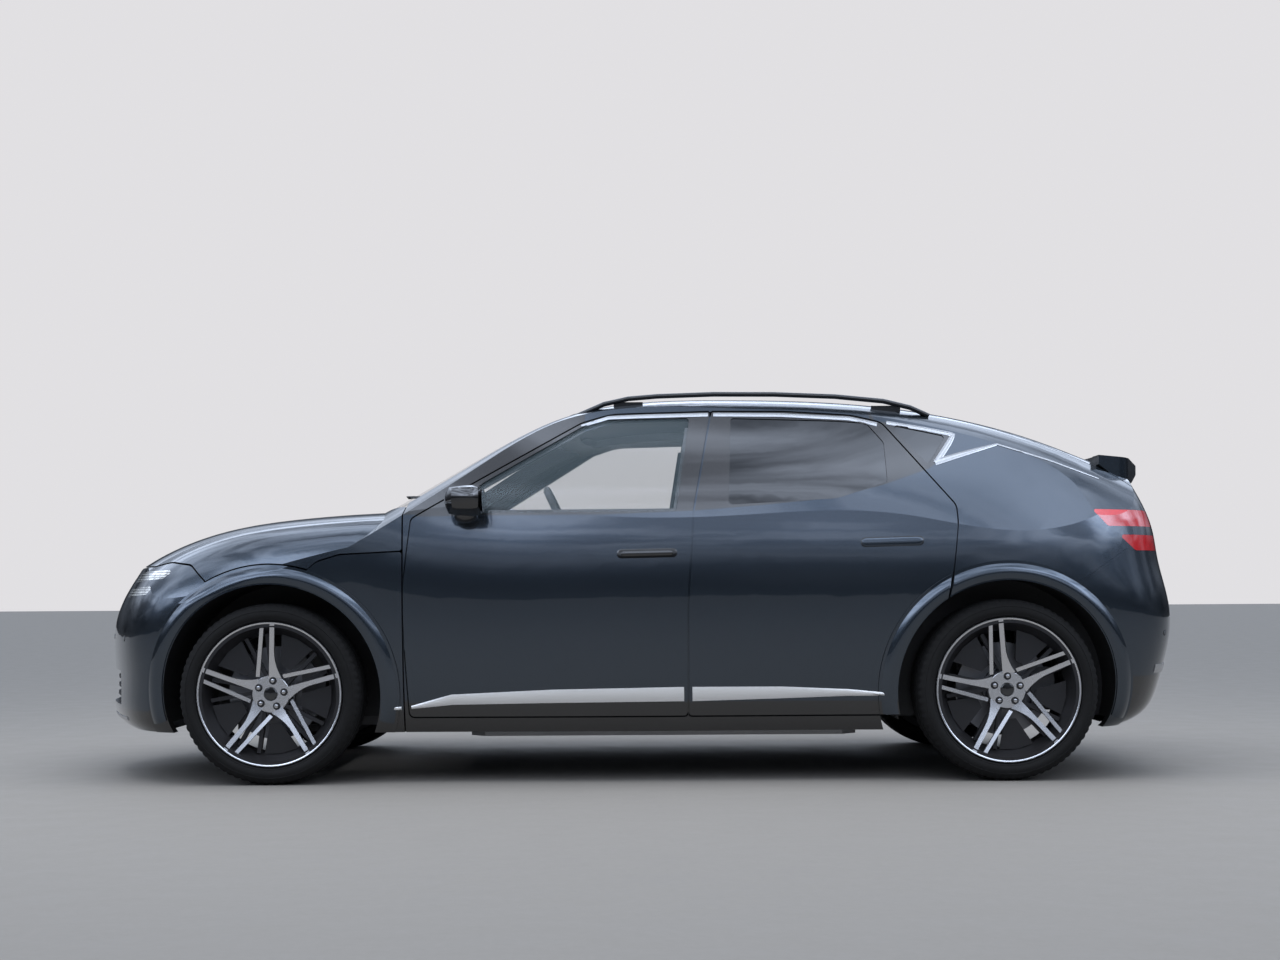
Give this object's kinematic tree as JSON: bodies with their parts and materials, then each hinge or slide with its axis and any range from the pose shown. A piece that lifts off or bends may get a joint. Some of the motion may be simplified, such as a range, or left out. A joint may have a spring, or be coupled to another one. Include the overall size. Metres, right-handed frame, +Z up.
{
  "type": "compact sport utility vehicle",
  "caption": "Fastback compact electric sport utility vehicle with hinged doors, hood and tailgate, steered front wheels, spinning wheels and a hollow cabin.",
  "frame": {"origin": "on the ground under the middle of the car's length and width", "axes": "+X forwards, +Y to the car's left, +Z up"},
  "size_m": [4.5084, 2.182, 1.5727],
  "materials": {
    "paint": "metallic clear coat",
    "black_gloss": "gloss",
    "black_plastic": "grained",
    "glass_clear": "clear",
    "glass_dark": "tinted",
    "lamp_clear": "clear",
    "lamp_red": "gloss",
    "rim_alloy": "machined",
    "tyre": "matt",
    "steel": "turned",
    "iron": "cast",
    "alu_cast": "cast",
    "rail": "satin",
    "floor": "carpet",
    "interior": "soft touch",
    "seat": "stitched"
  },
  "bodies": {
    "body": {"body_side_left": "paint", "body_side_right": "paint", "roof_panel": "paint", "windscreen": "glass_clear", "quarter_glass": "glass_dark", "tail_lamps": "lamp_red", "rear_bumper": "paint", "headlamps": "lamp_clear", "front_bumper": "paint", "front_grille": "black_plastic", "front_fenders": "paint", "rear_arch_flares": "paint", "roof_rails": "rail", "front_subframe": "iron", "rear_axle": "iron", "battery_pack": "alu_cast", "front_drive_unit": "alu_cast", "rear_drive_unit": "alu_cast", "wheel_liners": "black_plastic", "underbody_trays": "black_plastic", "floor_pan": "floor", "dashboard": "interior", "front_seats": "seat", "rear_seat": "seat"},
    "front_door_left": {"front_door_left": "paint", "front_door_glass_left": "glass_clear", "door_mirror_left": "black_gloss"},
    "rear_door_left": {"rear_door_left": "paint", "rear_door_glass_left": "glass_dark"},
    "front_wheel_left": {"front_rim_left": "rim_alloy", "front_tyre_left": "tyre", "front_brake_disc_left": "steel"},
    "rear_wheel_left": {"rear_rim_left": "rim_alloy", "rear_tyre_left": "tyre", "rear_brake_disc_left": "steel"},
    "front_knuckle_left": {"front_knuckle_left": "iron"},
    "front_door_right": {"front_door_right": "paint", "front_door_glass_right": "glass_clear", "door_mirror_right": "black_gloss"},
    "rear_door_right": {"rear_door_right": "paint", "rear_door_glass_right": "glass_dark"},
    "front_wheel_right": {"front_rim_right": "rim_alloy", "front_tyre_right": "tyre", "front_brake_disc_right": "steel"},
    "rear_wheel_right": {"rear_rim_right": "rim_alloy", "rear_tyre_right": "tyre", "rear_brake_disc_right": "steel"},
    "front_knuckle_right": {"front_knuckle_right": "iron"},
    "hood": {"hood": "paint"},
    "tailgate": {"tailgate": "paint", "tailgate_glass": "glass_dark", "tailgate_lamps": "lamp_red"},
    "steering_wheel": {"steering_wheel": "interior"}
  },
  "joints": [
    {"name": "front_door_left_open", "type": "hinge", "parent": "body", "child": "front_door_left", "pos_m": [0.8865, 0.94, 0.75], "axis": [0, 0, -1], "range_deg": [0, 68]},
    {"name": "rear_door_left_open", "type": "hinge", "parent": "body", "child": "rear_door_left", "pos_m": [-0.2355, 0.945, 0.75], "axis": [0, 0, -1], "range_deg": [0, 70]},
    {"name": "steer_left", "type": "hinge", "parent": "body", "child": "front_knuckle_left", "pos_m": [1.4125, 0.741, 0.357], "axis": [0, 0, 1], "range_deg": [-35, 35]},
    {"name": "front_wheel_left_spin", "type": "hinge", "parent": "front_knuckle_left", "child": "front_wheel_left", "pos_m": [1.4125, 0.803, 0.357], "axis": [0, 1, 0], "continuous": true},
    {"name": "rear_wheel_left_spin", "type": "hinge", "parent": "body", "child": "rear_wheel_left", "pos_m": [-1.4875, 0.803, 0.357], "axis": [0, 1, 0], "continuous": true},
    {"name": "front_door_right_open", "type": "hinge", "parent": "body", "child": "front_door_right", "pos_m": [0.8865, -0.94, 0.75], "axis": [0, 0, 1], "range_deg": [0, 68]},
    {"name": "rear_door_right_open", "type": "hinge", "parent": "body", "child": "rear_door_right", "pos_m": [-0.2355, -0.945, 0.75], "axis": [0, 0, 1], "range_deg": [0, 70]},
    {"name": "steer_right", "type": "hinge", "parent": "body", "child": "front_knuckle_right", "pos_m": [1.4125, -0.741, 0.357], "axis": [0, 0, 1], "range_deg": [-35, 35]},
    {"name": "front_wheel_right_spin", "type": "hinge", "parent": "front_knuckle_right", "child": "front_wheel_right", "pos_m": [1.4125, -0.803, 0.357], "axis": [0, 1, 0], "continuous": true},
    {"name": "rear_wheel_right_spin", "type": "hinge", "parent": "body", "child": "rear_wheel_right", "pos_m": [-1.4875, -0.803, 0.357], "axis": [0, 1, 0], "continuous": true},
    {"name": "hood_open", "type": "hinge", "parent": "body", "child": "hood", "pos_m": [0.8925, 0, 1.105], "axis": [0, -1, 0], "range_deg": [0, 55]},
    {"name": "tailgate_open", "type": "hinge", "parent": "body", "child": "tailgate", "pos_m": [-1.2995, 0, 1.497], "axis": [0, 1, 0], "range_deg": [0, 80]},
    {"name": "steering_wheel_turn", "type": "hinge", "parent": "body", "child": "steering_wheel", "pos_m": [0.2665, 0.37, 1.014], "axis": [0.9063, 0, -0.4226], "range_deg": [-455, 455]}
  ],
  "couplings": [
    {"joint": "steer_right", "follows": "steer_left", "ratio": 1},
    {"joint": "steering_wheel_turn", "follows": "steer_left", "ratio": -13}
  ]
}
